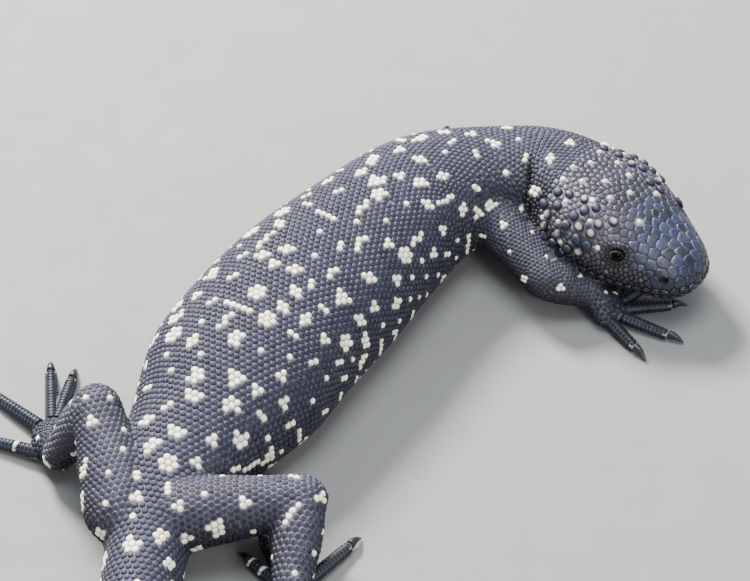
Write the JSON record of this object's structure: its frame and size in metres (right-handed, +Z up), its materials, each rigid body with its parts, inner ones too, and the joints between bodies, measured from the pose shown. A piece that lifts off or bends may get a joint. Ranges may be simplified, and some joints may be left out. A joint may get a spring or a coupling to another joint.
{
  "type": "beaded lizard",
  "caption": "Still, life-size model of a beaded lizard standing low on the floor, its trunk bent to the right, its hide covered in domed bead scales with cream flecks.",
  "frame": {"origin": "on the floor, under the middle of the trunk, on the flat that the belly rests on", "axes": "+Z up from the floor; +Y away from the viewer of the picture, along which the tail, trunk and neck reach furthest; +X to that viewer's right, the side that the head turns to"},
  "size_m": [0.3889, 0.525, 0.059],
  "materials": {
    "hide": "satin",
    "head_hide": "satin",
    "claw": "gloss",
    "eye": "gloss"
  },
  "bodies": {
    "root": {"head": "head_hide", "lower_jaw": "head_hide", "eye_left": "eye", "eye_right": "eye", "neck": "hide", "chest": "hide", "trunk": "hide", "hips": "hide", "tail_1": "hide", "tail_2": "hide", "tail_3": "hide", "tail_4": "hide", "fore_left_upper": "hide", "fore_left_lower": "hide", "fore_left_foot": "hide", "fore_left_claw_1": "claw", "fore_left_claw_2": "claw", "fore_left_claw_3": "claw", "fore_left_claw_4": "claw", "fore_left_claw_5": "claw", "fore_right_upper": "hide", "fore_right_lower": "hide", "fore_right_foot": "hide", "fore_right_claw_1": "claw", "fore_right_claw_2": "claw", "fore_right_claw_3": "claw", "fore_right_claw_4": "claw", "fore_right_claw_5": "claw", "hind_left_upper": "hide", "hind_left_lower": "hide", "hind_left_foot": "hide", "hind_left_claw_1": "claw", "hind_left_claw_2": "claw", "hind_left_claw_3": "claw", "hind_left_claw_4": "claw", "hind_left_claw_5": "claw", "hind_right_upper": "hide", "hind_right_lower": "hide", "hind_right_foot": "hide", "hind_right_claw_1": "claw", "hind_right_claw_2": "claw", "hind_right_claw_3": "claw", "hind_right_claw_4": "claw", "hind_right_claw_5": "claw"}
  },
  "joints": []
}
